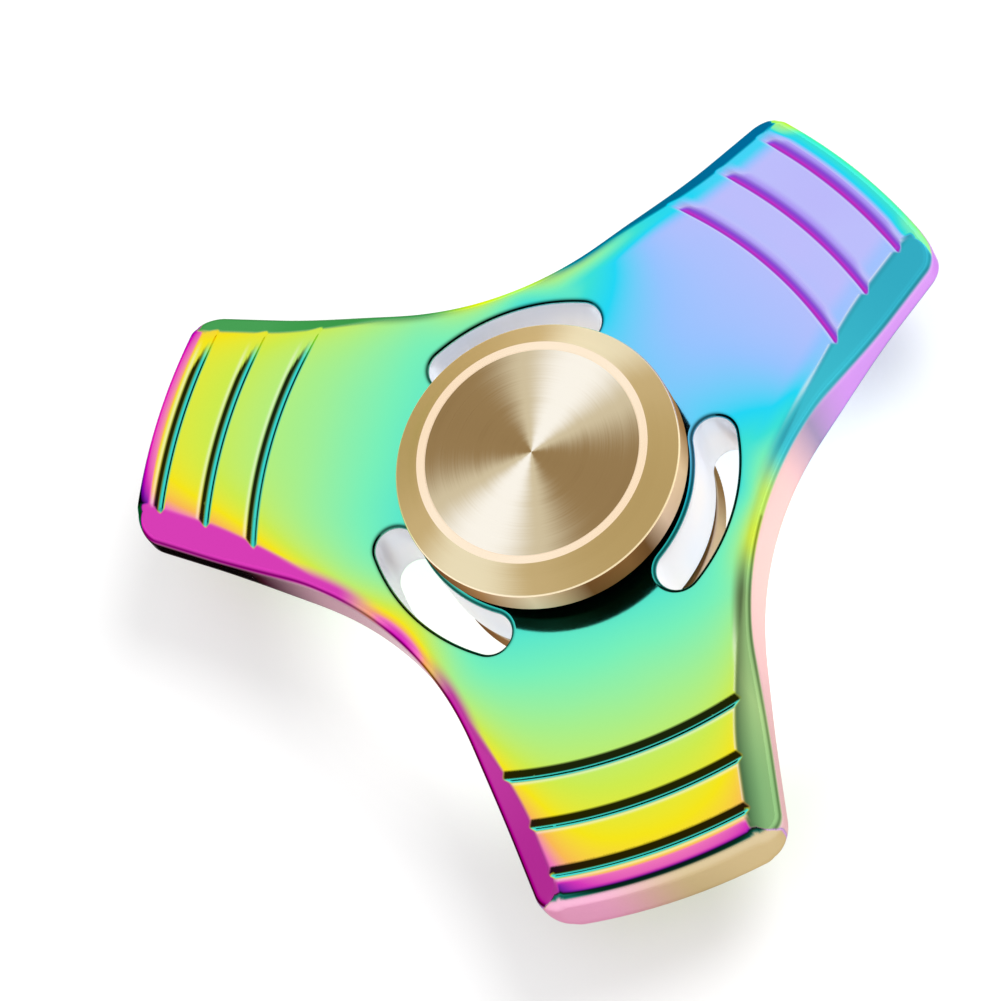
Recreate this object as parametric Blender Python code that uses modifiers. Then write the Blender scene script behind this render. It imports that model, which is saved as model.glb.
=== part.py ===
"""Three-armed metal fidget spinner on a standard R188 ball bearing, as an assembly of separate solids.

+Z is the spin axis and points up. The origin is the centre of the bottom cap's flat outer face, on which the
spinner rests. Every piece is modelled about the spinner's mid-plane and hangs from an empty at that height.
The first arm points along +Y.
"""

import math

import bmesh
import bpy
from mathutils import Matrix, Vector

MM = 0.001
FIT = 0.06 * MM  # radial or axial gap between pieces that touch on the real object

# Body: a plate with three arms.
ARM_COUNT = 3
BODY_THICKNESS = 6.3 * MM
ARC_CENTRE_OFFSET = 11.0 * MM  # the tip and groove arcs are centred this far behind the spin axis
TIP_RADIUS = 30.2 * MM  # from the spin axis to the middle of a tip
SIDE_DISTANCE = 12.1 * MM  # from the spin axis to the line of an arm's long side
SIDE_TAPER = math.radians(7.0)  # each long side closes in by this angle towards the tip
THROAT_RADIUS = 15.2 * MM  # from the spin axis to the waist between two arms
CORNER_RADIUS = 2.0 * MM
TIP_EDGE_RADIUS = 1.5 * MM  # rounding of the edge between a flat face and a tip
GROOVE_RADII = (21.0 * MM, 24.6 * MM, 28.1 * MM)  # from the spin axis, on the arm's centre line
GROOVE_HALF_WIDTH = 0.55 * MM
GROOVE_DEPTH = 0.45 * MM

# Slanted facets along both long sides of each arm. They narrow to a bevel that runs round the throats.
FACET_SLOPE = math.radians(45)  # below the flat face
THROAT_BEVEL = 0.5 * MM  # width in plan
FACET_WIDTH = 2.0 * MM  # width in plan
FACET_START = 12.0 * MM  # along the arm, where the bevel starts to widen
FACET_FULL = 24.0 * MM  # along the arm, where it reaches the facet's full width

# Kidney slots between the arms, concentric with the hub.
SLOT_INNER_RADIUS = 10.15 * MM
SLOT_OUTER_RADIUS = 13.15 * MM
SLOT_HALF_ANGLE = math.radians(24.5)  # to the centre of a slot's rounded end
SLOT_EDGE_BREAK = 0.25 * MM

# R188 bearing: 6.35 x 12.7 x 4.762 mm with ten 1/16 inch balls.
BEARING_BORE_RADIUS = 3.175 * MM
BEARING_OUTER_RADIUS = 6.35 * MM
BEARING_HALF_WIDTH = 2.381 * MM
BALL_RADIUS = 0.794 * MM
BALL_COUNT = 10
PITCH_RADIUS = (BEARING_BORE_RADIUS + BEARING_OUTER_RADIUS) / 2
RACE_CLEARANCE = 0.03 * MM
INNER_LAND_RADIUS = 4.2 * MM
OUTER_LAND_RADIUS = 5.32 * MM
SHIELD_SEAT_RADIUS = 5.85 * MM
SHIELD_THICKNESS = 0.18 * MM
SNAP_WIRE_RADIUS = 0.11 * MM
SNAP_GAP_HALF_ANGLE = math.radians(14.0)
CAGE_INNER_RADIUS = 4.4 * MM
CAGE_OUTER_RADIUS = 5.12 * MM
CAGE_BOTTOM = -1.25 * MM
CAGE_TOP = 0.55 * MM
CAGE_POCKET_RADIUS = BALL_RADIUS + 0.08 * MM
SEAT_LIP_RADIUS = 5.7 * MM  # the shoulder under the bearing, at the bottom of the body's bore

# Finger caps.
CAP_RADIUS = 10.0 * MM
CAP_GAP = 0.95 * MM  # between the body's face and a cap's underside
CAP_WALL_HEIGHT = 2.45 * MM
CAP_FACE_HEIGHT = 3.75 * MM  # from a cap's underside to its outer face
CAP_DISC_RADIUS = 7.6 * MM
CAP_RING_RADIUS = 8.1 * MM  # outer edge of the bright ring round the disc
CAP_RING_DROP = 0.1 * MM
CAP_EDGE_BREAK = 0.15 * MM
CAP_BOSS_RADIUS = 3.95 * MM
STUD_RADIUS = 2.0 * MM
SLEEVE_RADIUS = BEARING_BORE_RADIUS - FIT

MID_HEIGHT = BODY_THICKNESS / 2 + CAP_GAP + CAP_FACE_HEIGHT
FINE_STEPS = 60
COARSE_STEPS = 40


def clear_scene():
    for obj in list(bpy.data.objects):
        bpy.data.objects.remove(obj)


def new_collection(name):
    collection = bpy.data.collections.new(name)
    bpy.context.scene.collection.children.link(collection)
    return collection


def new_material(name, colour, metallic, roughness):
    material = bpy.data.materials.new(name)
    material.use_nodes = True
    shader = material.node_tree.nodes["Principled BSDF"]
    shader.inputs["Base Color"].default_value = (*colour, 1.0)
    shader.inputs["Metallic"].default_value = metallic
    shader.inputs["Roughness"].default_value = roughness
    return material


def new_empty(name, collection, parent=None, location=(0, 0, 0)):
    empty = bpy.data.objects.new(name, None)
    collection.objects.link(empty)
    empty.parent = parent
    empty.location = location
    return empty


def place(obj, collection, parent, material):
    """Links a piece, hangs it from its empty and shades it."""
    collection.objects.link(obj)
    obj.parent = parent
    obj.data.materials.clear()
    obj.data.materials.append(material)
    return obj


def smooth(mesh, sharp_degrees=30):
    mesh.shade_smooth()
    mesh.set_sharp_from_angle(angle=math.radians(sharp_degrees))


def arc(centre, radius, start, end, count):
    """Points from one angle to another round a centre, both ends included."""
    step = (end - start) / count
    return [
        Vector((
            centre[0] + radius * math.cos(start + i * step),
            centre[1] + radius * math.sin(start + i * step),
        ))
        for i in range(count + 1)
    ]


def turned(name, profile, steps=COARSE_STEPS):
    """A turned solid: the closed (radius, height) profile, listed down its outer side, goes round +Z."""
    mesh = bpy.data.meshes.new(name)
    count = len(profile)
    touches_axis = profile[0][0] == 0
    edges = [(i, i + 1) for i in range(count - 1)]
    if not touches_axis:
        edges.append((count - 1, 0))
    mesh.from_pydata([(radius, 0, height) for radius, height in profile], edges, [])
    obj = bpy.data.objects.new(name, mesh)
    screw = obj.modifiers.new("turn", "SCREW")
    screw.steps = screw.render_steps = steps
    screw.use_merge_vertices = touches_axis
    screw.merge_threshold = 0.00001
    screw.use_smooth_shade = True
    return obj


def prism(name, outline, half_height):
    """A plate with a flat outline: a filled 2D curve, extruded, then made a mesh with its caps welded."""
    curve = bpy.data.curves.new(name, "CURVE")
    curve.dimensions = "2D"
    curve.fill_mode = "BOTH"
    curve.extrude = half_height
    spline = curve.splines.new("POLY")
    spline.points.add(len(outline) - 1)
    for point, (x, y) in zip(spline.points, outline):
        point.co = (x, y, 0, 1)
    spline.use_cyclic_u = True
    curve_obj = bpy.data.objects.new(name + "_outline", curve)
    bpy.context.scene.collection.objects.link(curve_obj)
    graph = bpy.context.evaluated_depsgraph_get()
    mesh = bpy.data.meshes.new_from_object(curve_obj.evaluated_get(graph))
    bpy.data.objects.remove(curve_obj)
    mesh.name = name
    weld(mesh)
    return bpy.data.objects.new(name, mesh)


def weld(mesh, distance=1e-6):
    shape = bmesh.new()
    shape.from_mesh(mesh)
    bmesh.ops.remove_doubles(shape, verts=shape.verts, dist=distance)
    bmesh.ops.recalc_face_normals(shape, faces=shape.faces)
    shape.to_mesh(mesh)
    shape.free()


def as_cutter(obj, collection, parent):
    collection.objects.link(obj)
    obj.parent = parent
    obj.hide_render = True
    obj.display_type = "WIRE"
    return obj


def cut(obj, cutter):
    modifier = obj.modifiers.new("cut_" + cutter.name, "BOOLEAN")
    modifier.operation = "DIFFERENCE"
    modifier.object = cutter


def arm_angle(index):
    """Turn that carries the first arm, along +Y, to the arm of this index."""
    return index * 2 * math.pi / ARM_COUNT


# ---------------------------------------------------------------- body


def throat():
    """Centre and radius of the arc that joins two arms, and the direction from the hub to the waist."""
    waist = math.pi / 2 + math.pi / ARM_COUNT
    distance = (SIDE_DISTANCE - THROAT_RADIUS) / (math.cos(math.pi - SIDE_TAPER - waist) - 1)
    centre = Vector((math.cos(waist), math.sin(waist))) * distance
    return centre, distance - THROAT_RADIUS, waist


def side_point(y):
    """Point at this distance along the first arm on the straight line of its left side."""
    return Vector(((y * math.sin(SIDE_TAPER) - SIDE_DISTANCE) / math.cos(SIDE_TAPER), y))


def body_outline():
    """The plan of the body, anticlockwise: for each arm its corner, tip, corner and the throat after it."""
    arc_centre = Vector((0, -ARC_CENTRE_OFFSET))
    arc_radius = TIP_RADIUS + ARC_CENTRE_OFFSET
    normal = Vector((math.cos(SIDE_TAPER), math.sin(SIDE_TAPER)))
    along = Vector((-normal.y, normal.x))
    # The corner's centre lies inside the side line and inside the tip arc by the corner's radius.
    base = normal * (SIDE_DISTANCE - CORNER_RADIUS) - arc_centre
    reach = base.dot(along)
    run = -reach + math.sqrt(reach**2 - base.length_squared + (arc_radius - CORNER_RADIUS) ** 2)
    corner = normal * (SIDE_DISTANCE - CORNER_RADIUS) + along * run
    tip_angle = math.atan2(corner.y - arc_centre.y, corner.x)
    throat_centre, throat_arc_radius, waist = throat()
    side_normal = math.pi - SIDE_TAPER
    one_arm = (
        arc(corner, CORNER_RADIUS, SIDE_TAPER, tip_angle, 4)
        + arc(arc_centre, arc_radius, tip_angle, math.pi - tip_angle, 12)[1:-1]
        + arc((-corner.x, corner.y), CORNER_RADIUS, math.pi - tip_angle, side_normal, 4)
        + arc(throat_centre, throat_arc_radius, side_normal + math.pi, 2 * waist - side_normal + math.pi, 12)
    )
    points = []
    for index in range(ARM_COUNT):
        turn = Matrix.Rotation(arm_angle(index), 2)
        points += [turn @ point for point in one_arm]
    return points


def slot_outline(grow):
    """A kidney slot centred on +X, wider by this much all round: two concentric arcs with round ends."""
    middle = (SLOT_INNER_RADIUS + SLOT_OUTER_RADIUS) / 2
    end_radius = (SLOT_OUTER_RADIUS - SLOT_INNER_RADIUS) / 2 + grow
    half = SLOT_HALF_ANGLE
    left = (middle * math.cos(half), middle * math.sin(half))
    right = (left[0], -left[1])
    return (
        arc((0, 0), SLOT_OUTER_RADIUS + grow, -half, half, 8)
        + arc(left, end_radius, half, half + math.pi, 6)[1:-1]
        + arc((0, 0), SLOT_INNER_RADIUS - grow, half, -half, 8)
        + arc(right, end_radius, math.pi - half, 2 * math.pi - half, 6)[1:-1]
    )


def loft(name, sections):
    """A closed solid through a row of sections, each a list of the same number of points."""
    shape = bmesh.new()
    rings = [[shape.verts.new(point) for point in section] for section in sections]
    count = len(rings[0])
    for near, far in zip(rings, rings[1:]):
        for k in range(count):
            after = (k + 1) % count
            shape.faces.new((near[k], near[after], far[after], far[k]))
    shape.faces.new(rings[0])
    shape.faces.new(rings[-1])
    bmesh.ops.recalc_face_normals(shape, faces=shape.faces)
    mesh = bpy.data.meshes.new(name)
    shape.to_mesh(mesh)
    shape.free()
    return mesh


def slot_cutter():
    """The slot's walls, flared at both faces to break the edges."""
    top = BODY_THICKNESS / 2
    clear = 0.5 * MM
    levels = (
        (-top - clear, SLOT_EDGE_BREAK + clear), (-top + SLOT_EDGE_BREAK, 0),
        (top - SLOT_EDGE_BREAK, 0), (top + clear, SLOT_EDGE_BREAK + clear),
    )
    return loft("slot_cutter", [
        [(point.x, point.y, height) for point in slot_outline(grow)] for height, grow in levels
    ])


def groove_cutter():
    """Sector that forms the top of one arm's end: three round-bottomed grooves and the rounded tip edge."""
    top = BODY_THICKNESS / 2
    clear = top + 2 * MM
    profile = []
    for radius in GROOVE_RADII:
        for share, depth in ((-1.0, -0.2), (-0.45, 0.75), (0.0, 1.0), (0.45, 0.75), (1.0, -0.2)):
            profile.append((
                radius + ARC_CENTRE_OFFSET + share * GROOVE_HALF_WIDTH,
                top - depth * GROOVE_DEPTH,
            ))
    tip = TIP_RADIUS + ARC_CENTRE_OFFSET
    lift = 0.05 * MM
    for i in range(5):
        angle = math.pi / 2 * (1 - i / 4)
        profile.append((
            tip - TIP_EDGE_RADIUS * (1 - math.cos(angle)) + lift,
            top - TIP_EDGE_RADIUS * (1 - math.sin(angle)) + lift * math.sin(angle),
        ))
    profile.append((tip + 3 * MM, top - TIP_EDGE_RADIUS))
    profile.append((tip + 3 * MM, clear))
    profile.append((GROOVE_RADII[0] + ARC_CENTRE_OFFSET - GROOVE_HALF_WIDTH, clear))
    return sector("groove_cutter", profile, half_angle=math.radians(17), steps=12)


def sector(name, profile, half_angle, steps):
    """A (radius, height) polygon swept round +Z, to both sides of +Y, as one closed solid."""
    shape = bmesh.new()
    start = Matrix.Rotation(math.pi / 2 - half_angle, 3, "Z")
    corners = [shape.verts.new(start @ Vector((radius, 0, height))) for radius, height in profile]
    face = shape.faces.new(corners)
    bmesh.ops.spin(
        shape, geom=[face, *face.edges, *face.verts], cent=(0, 0, 0), axis=(0, 0, 1),
        angle=2 * half_angle, steps=steps,
    )
    bmesh.ops.recalc_face_normals(shape, faces=shape.faces)
    mesh = bpy.data.meshes.new(name)
    shape.to_mesh(mesh)
    shape.free()
    return mesh


def facet_width(y):
    """Width in plan of the slanted facet at this distance along an arm."""
    share = min(1.0, max(0.0, (y - FACET_START) / (FACET_FULL - FACET_START)))
    return THROAT_BEVEL + (FACET_WIDTH - THROAT_BEVEL) * share * share * (3 - 2 * share)


def facet_stations():
    """(outline point, outward normal, facet width) from past the first arm's tip round to the waist."""
    centre, radius, waist = throat()
    outward = Vector((-math.cos(SIDE_TAPER), math.sin(SIDE_TAPER)))
    side_foot = (centre - outward * radius).y
    along = [TIP_RADIUS + 3 * MM]
    along += [FACET_FULL + (side_foot - FACET_FULL) * i / 4 for i in range(5)]
    stations = [(side_point(y), outward, facet_width(y)) for y in along]
    start = -SIDE_TAPER
    end = waist - math.pi
    for i in range(1, 7):
        angle = start + (end - start) * i / 6
        direction = Vector((math.cos(angle), math.sin(angle)))
        point = centre + direction * radius
        stations.append((point, -direction, facet_width(point.y)))
    return stations


def facet_cutter():
    """Wedge that follows the outline from the first arm's left side, round a throat, to the next arm."""
    top = BODY_THICKNESS / 2
    outside = 1.5 * MM
    lift = 0.5 * MM
    slope = math.tan(FACET_SLOPE)
    half = facet_stations()
    waist = throat()[2]
    across = Matrix.Rotation(waist, 2) @ Matrix(((1, 0), (0, -1))) @ Matrix.Rotation(-waist, 2)
    stations = half + [(across @ point, across @ normal, width) for point, normal, width in half[-2::-1]]
    sections = []
    for point, normal, width in stations:
        inner = point - normal * (width + lift / slope)
        outer = point + normal * outside
        sections.append([
            (*inner, top + lift), (*outer, top - (width + outside) * slope), (*outer, top + lift),
        ])
    return loft("facet_cutter", sections)


def bore_cutter():
    """Stepped bore for the bearing, with a shoulder at the bottom."""
    top = BODY_THICKNESS / 2 + 1 * MM
    seat = -BEARING_HALF_WIDTH - FIT
    return turned("bore_cutter", [
        (0, top), (BEARING_OUTER_RADIUS + FIT, top), (BEARING_OUTER_RADIUS + FIT, seat),
        (SEAT_LIP_RADIUS, seat), (SEAT_LIP_RADIUS, -top), (0, -top),
    ], FINE_STEPS)


def make_body(parts, cutters, parent, material):
    """The features of the upper half are cut first and mirrored, and then the stepped bore is cut."""
    body = place(prism("spinner_body", body_outline(), BODY_THICKNESS / 2), parts, parent, material)
    slot_mesh = slot_cutter()
    groove_mesh = groove_cutter()
    facet_mesh = facet_cutter()
    to_waist = Matrix.Rotation(math.pi / 2 + math.pi / ARM_COUNT, 4, "Z")
    to_arc_centre = Matrix.Translation((0, -ARC_CENTRE_OFFSET, 0))
    for index in range(ARM_COUNT):
        turn = Matrix.Rotation(arm_angle(index), 4, "Z")
        tools = (
            (f"slot_cutter_{index}", slot_mesh, turn @ to_waist),
            (f"groove_cutter_{index}", groove_mesh, turn @ to_arc_centre),
            (f"facet_cutter_{index}", facet_mesh, turn),
        )
        for name, mesh, matrix in tools:
            cutter = as_cutter(bpy.data.objects.new(name, mesh), cutters, parent)
            cutter.matrix_local = matrix
            cut(body, cutter)
    mirror = body.modifiers.new("lower_half", "MIRROR")
    mirror.use_axis = (False, False, True)
    mirror.use_bisect_axis = (False, False, True)
    mirror.merge_threshold = 0.00001
    cut(body, as_cutter(bore_cutter(), cutters, parent))
    smooth(body.data)
    return body


# ---------------------------------------------------------------- bearing


def race(land_radius, centre_sign):
    """Points of a ball groove from top to bottom. The groove is cut into the land at its radius."""
    groove_radius = BALL_RADIUS + RACE_CLEARANCE
    reach = land_radius - PITCH_RADIUS
    half_angle = math.acos(abs(reach) / groove_radius)
    points = []
    for i in range(7):
        angle = half_angle * (1 - i / 3)
        points.append((
            PITCH_RADIUS + centre_sign * groove_radius * math.cos(angle),
            groove_radius * math.sin(angle),
        ))
    return points


def make_rings(parts, rotor, hub, steel):
    half = BEARING_HALF_WIDTH
    break_edge = 0.15 * MM
    inner = turned("bearing_inner_ring", [
        (BEARING_BORE_RADIUS + break_edge, half), (INNER_LAND_RADIUS, half),
        *race(INNER_LAND_RADIUS, -1),
        (INNER_LAND_RADIUS, -half), (BEARING_BORE_RADIUS + break_edge, -half),
        (BEARING_BORE_RADIUS, -half + break_edge), (BEARING_BORE_RADIUS, half - break_edge),
    ])
    seat_depth = SHIELD_THICKNESS + 2 * SNAP_WIRE_RADIUS + 3 * FIT
    outer = turned("bearing_outer_ring", [
        (SHIELD_SEAT_RADIUS, half), (BEARING_OUTER_RADIUS - break_edge, half),
        (BEARING_OUTER_RADIUS, half - break_edge), (BEARING_OUTER_RADIUS, -half + break_edge),
        (BEARING_OUTER_RADIUS - break_edge, -half), (SHIELD_SEAT_RADIUS, -half),
        (SHIELD_SEAT_RADIUS, -half + seat_depth), (OUTER_LAND_RADIUS, -half + seat_depth),
        *reversed(race(OUTER_LAND_RADIUS, 1)),
        (OUTER_LAND_RADIUS, half - seat_depth), (SHIELD_SEAT_RADIUS, half - seat_depth),
    ])
    place(inner, parts, hub, steel)
    place(outer, parts, rotor, steel)


def make_shields(parts, rotor, steel, spring_steel):
    """A washer and the wire ring that holds it, at each end of the bearing."""
    half = BEARING_HALF_WIDTH
    inner = INNER_LAND_RADIUS + 0.15 * MM
    outer = SHIELD_SEAT_RADIUS - FIT
    floor = half - SHIELD_THICKNESS - 2 * SNAP_WIRE_RADIUS - 2 * FIT
    wire_height = half - SNAP_WIRE_RADIUS
    for end, flip in (("top", 1), ("bottom", -1)):
        low, high = sorted((flip * floor, flip * (floor + SHIELD_THICKNESS)))
        shield = turned(f"bearing_shield_{end}", [
            (inner, high), (outer, high), (outer, low), (inner, low),
        ])
        place(shield, parts, rotor, steel)
        place(snap_ring(f"snap_ring_{end}", flip * wire_height), parts, rotor, spring_steel)


def snap_ring(name, height):
    """An open ring of round wire: a poly curve with a bevel and filled ends."""
    curve = bpy.data.curves.new(name, "CURVE")
    curve.dimensions = "3D"
    curve.bevel_depth = SNAP_WIRE_RADIUS
    curve.bevel_resolution = 1
    curve.use_fill_caps = True
    steps = 30
    radius = SHIELD_SEAT_RADIUS - FIT - SNAP_WIRE_RADIUS
    points = arc((0, 0), radius, SNAP_GAP_HALF_ANGLE, 2 * math.pi - SNAP_GAP_HALF_ANGLE, steps)
    spline = curve.splines.new("POLY")
    spline.points.add(steps)
    for point, (x, y) in zip(spline.points, points):
        point.co = (x, y, height, 1)
    return bpy.data.objects.new(name, curve)


def ball_mesh(name, radius, segments, rings):
    mesh = bpy.data.meshes.new(name)
    shape = bmesh.new()
    bmesh.ops.create_uvsphere(shape, u_segments=segments, v_segments=rings, radius=radius)
    shape.to_mesh(mesh)
    shape.free()
    mesh.shade_smooth()
    return mesh


def ball_centre(index):
    angle = math.pi / 2 + index * 2 * math.pi / BALL_COUNT
    return (PITCH_RADIUS * math.cos(angle), PITCH_RADIUS * math.sin(angle), 0)


def make_balls(parts, cage_axis, steel):
    mesh = ball_mesh("ball", BALL_RADIUS, 14, 7)
    for index in range(BALL_COUNT):
        ball = place(bpy.data.objects.new(f"ball_{index + 1:02d}", mesh), parts, cage_axis, steel)
        ball.location = ball_centre(index)


def make_cage(parts, cutters, cage_axis, brass):
    """Crown cage: a ring on one side of the balls, with pockets that snap over them."""
    cage = turned("ball_cage", [
        (CAGE_INNER_RADIUS, CAGE_TOP), (CAGE_OUTER_RADIUS, CAGE_TOP),
        (CAGE_OUTER_RADIUS, CAGE_BOTTOM), (CAGE_INNER_RADIUS, CAGE_BOTTOM),
    ], 40)
    place(cage, parts, cage_axis, brass)
    pocket_mesh = ball_mesh("pocket", CAGE_POCKET_RADIUS, 12, 6)
    for index in range(BALL_COUNT):
        pocket = as_cutter(
            bpy.data.objects.new(f"pocket_cutter_{index + 1:02d}", pocket_mesh), cutters, cage_axis
        )
        pocket.location = ball_centre(index)
        cut(cage, pocket)


# ---------------------------------------------------------------- caps


def cap_shell(boss_end):
    """(radius, height) points of a cap from its face's centre to its boss, for the cap above the mid-plane."""
    under = BODY_THICKNESS / 2 + CAP_GAP
    face = under + CAP_FACE_HEIGHT
    wall_top = under + CAP_WALL_HEIGHT
    bend = CAP_EDGE_BREAK
    return [
        (0, face), (CAP_DISC_RADIUS, face), (CAP_RING_RADIUS, face - CAP_RING_DROP),
        (CAP_RADIUS - bend, wall_top + 0.5 * bend), (CAP_RADIUS, wall_top - 0.5 * bend),
        (CAP_RADIUS, under + bend), (CAP_RADIUS - bend, under),
        (CAP_BOSS_RADIUS, under), (CAP_BOSS_RADIUS, boss_end),
    ]


def make_caps(parts, hub, gold):
    """The top cap's stud screws into the bottom cap's sleeve, and the two bosses clamp the inner ring."""
    boss_end = BEARING_HALF_WIDTH + 0.02 * MM
    stud_end = -2.0 * MM
    sleeve_end = 2.2 * MM
    hole_end = -2.3 * MM
    top = turned("top_cap", [
        *cap_shell(boss_end),
        (STUD_RADIUS, boss_end), (STUD_RADIUS, stud_end + 0.3 * MM), (STUD_RADIUS - 0.3 * MM, stud_end),
        (0, stud_end),
    ], FINE_STEPS)
    mirrored_shell = [(radius, -height) for radius, height in reversed(cap_shell(boss_end))]
    hole = STUD_RADIUS + FIT
    bottom = turned("bottom_cap", [
        (0, hole_end), (hole, hole_end), (hole, sleeve_end), (SLEEVE_RADIUS, sleeve_end),
        (SLEEVE_RADIUS, -boss_end),
        *mirrored_shell,
    ], FINE_STEPS)
    place(top, parts, hub, gold)
    place(bottom, parts, hub, gold)


def main():
    clear_scene()
    parts = new_collection("fidget_spinner")
    cutters = new_collection("cutters")
    rainbow = new_material("rainbow_coating", (0.45, 0.75, 0.45), 1.0, 0.12)
    gold = new_material("gold_anodised", (0.60, 0.47, 0.25), 1.0, 0.3)
    steel = new_material("bearing_steel", (0.62, 0.63, 0.65), 1.0, 0.15)
    spring_steel = new_material("spring_steel", (0.4, 0.4, 0.42), 1.0, 0.25)
    brass = new_material("cage_brass", (0.7, 0.52, 0.25), 1.0, 0.3)
    hub = new_empty("hub", parts, location=(0, 0, MID_HEIGHT))
    rotor = new_empty("rotor_axis", parts, hub)
    cage_axis = new_empty("cage_axis", parts, hub)
    make_body(parts, cutters, rotor, rainbow)
    make_rings(parts, rotor, hub, steel)
    make_shields(parts, rotor, steel, spring_steel)
    make_balls(parts, cage_axis, steel)
    make_cage(parts, cutters, cage_axis, brass)
    make_caps(parts, hub, gold)


main()
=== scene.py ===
"""Visual model, lights and camera for the three-armed iridescent fidget spinner.

The body and the two finger caps are rebuilt here as fine surfaces in place of the faceted CAD nodes. The bearing's
CAD nodes stay, with detailed materials. Shapes are worked out in millimetres about the spinner's mid-plane.
"""

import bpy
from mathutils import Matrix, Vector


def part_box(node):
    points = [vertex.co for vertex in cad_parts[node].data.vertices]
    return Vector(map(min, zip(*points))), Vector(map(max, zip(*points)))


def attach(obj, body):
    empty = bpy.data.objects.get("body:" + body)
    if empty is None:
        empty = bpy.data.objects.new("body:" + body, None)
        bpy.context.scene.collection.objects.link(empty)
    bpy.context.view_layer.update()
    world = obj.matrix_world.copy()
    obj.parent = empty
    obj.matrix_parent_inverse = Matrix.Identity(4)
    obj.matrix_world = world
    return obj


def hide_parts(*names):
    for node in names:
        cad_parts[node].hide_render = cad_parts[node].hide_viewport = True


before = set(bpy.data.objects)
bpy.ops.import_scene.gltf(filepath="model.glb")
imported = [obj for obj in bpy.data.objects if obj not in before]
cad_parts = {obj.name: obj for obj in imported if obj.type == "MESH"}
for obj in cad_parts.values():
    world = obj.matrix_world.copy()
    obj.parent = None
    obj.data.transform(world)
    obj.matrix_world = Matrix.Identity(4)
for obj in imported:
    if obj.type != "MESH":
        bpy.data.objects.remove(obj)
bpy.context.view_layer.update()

import math

import bmesh
import bpy
import numpy as np
from mathutils import Matrix, Vector
from mathutils.geometry import delaunay_2d_cdt

MM = 0.001

# Heights come from the CAD: the body's mid-plane, half its thickness and the caps' outer faces.
BODY_LOW, BODY_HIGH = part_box("spinner_body")
MID = (BODY_LOW[2] + BODY_HIGH[2]) / 2 / MM
TOP = (BODY_HIGH[2] - BODY_LOW[2]) / 2 / MM
CAP_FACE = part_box("top_cap")[1][2] / MM - MID

# The body's plan and edges, as in the CAD, with the small roundings that the CAD leaves faceted.
ARM_ANGLES = np.radians((90, 210, 330))
ARMS = np.stack([np.cos(ARM_ANGLES), np.sin(ARM_ANGLES)], axis=1)
WAIST = math.radians(30)
ARC_OFFSET = 11.0
TIP = BODY_HIGH[1] / MM
SIDE = 12.1
TAPER = math.radians(7.0)
THROAT = 15.2
CORNER = 2.0
GROOVES = (21.0, 24.6, 28.1)
GROOVE_HALF = 0.50
GROOVE_DEPTH = 0.30
GROOVE_SHADING = 0.6
FACET_SLOPE = math.radians(45)
FACET_NARROW, FACET_WIDE = 0.5, 2.0
FACET_FROM, FACET_TO = 12.0, 24.0
TIP_ROLL = 1.5
WALL_ROLL = 1.8
BLEND = 0.20
SLOT_IN, SLOT_OUT = 10.15, 13.15
SLOT_HALF = math.radians(24.5)
SLOT_ROLL = 0.38
BORE = 6.41
BORE_LIP = 5.7
BORE_SEAT = -2.44

# How finely the surface is divided.
ROW_STEPS = np.concatenate([0.5 * (np.arange(12) / 12) ** 2, np.arange(0.5, 2.65, 0.07)])
SLOT_STEPS = np.concatenate([SLOT_ROLL * (np.arange(8) / 8) ** 2, [SLOT_ROLL, 0.45, 0.55, 0.65]])
EDGE_ROWS = ROW_STEPS[-1]
WALL_LEVELS = 5

CAMERA_AZIMUTH = math.radians(-130.476)
CAMERA_ELEVATION = math.radians(62.161)
CAMERA_DISTANCE = 0.34968
CAMERA_ROLL = math.radians(36.685)
CAMERA_AIM = Vector((-0.00218, 0.00303, (MID + TOP) * MM))
CAMERA_LENS = 184.38
# Direction of the caps' painted bow-tie highlight; no lamp stands there.
PAINTED_HIGHLIGHT_DIRECTION = (0.643, 0.266, 0.72)


# ------------------------------------------------------------------ body surface


def polar(centre, radius, angle):
    return np.array([centre[0] + radius * math.cos(angle), centre[1] + radius * math.sin(angle)])


def smoothstep(value, low, high):
    share = np.clip((value - low) / (high - low), 0, 1)
    return share * share * (3 - 2 * share)


def hump(value, centre, width):
    return np.exp(-(((value - centre) / width) ** 2))


def throat_arc():
    """Centre and radius of the arc that joins two arms."""
    distance = (SIDE - THROAT) / (math.cos(WAIST - TAPER) - 1)
    return polar((0, 0), distance, WAIST), distance - THROAT


def corner_place():
    """Centre of an arm's rounded corner, and the direction from it in which the tip's arc begins."""
    side_normal = np.array([math.cos(TAPER), math.sin(TAPER)])
    along = np.array([-side_normal[1], side_normal[0]])
    arc_centre = np.array([0, -ARC_OFFSET])
    base = side_normal * (SIDE - CORNER) - arc_centre
    reach = base @ along
    run = -reach + math.sqrt(reach**2 - base @ base + (TIP + ARC_OFFSET - CORNER) ** 2)
    corner = side_normal * (SIDE - CORNER) + along * run
    return corner, math.atan2(corner[1] + ARC_OFFSET, corner[0])


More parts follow.
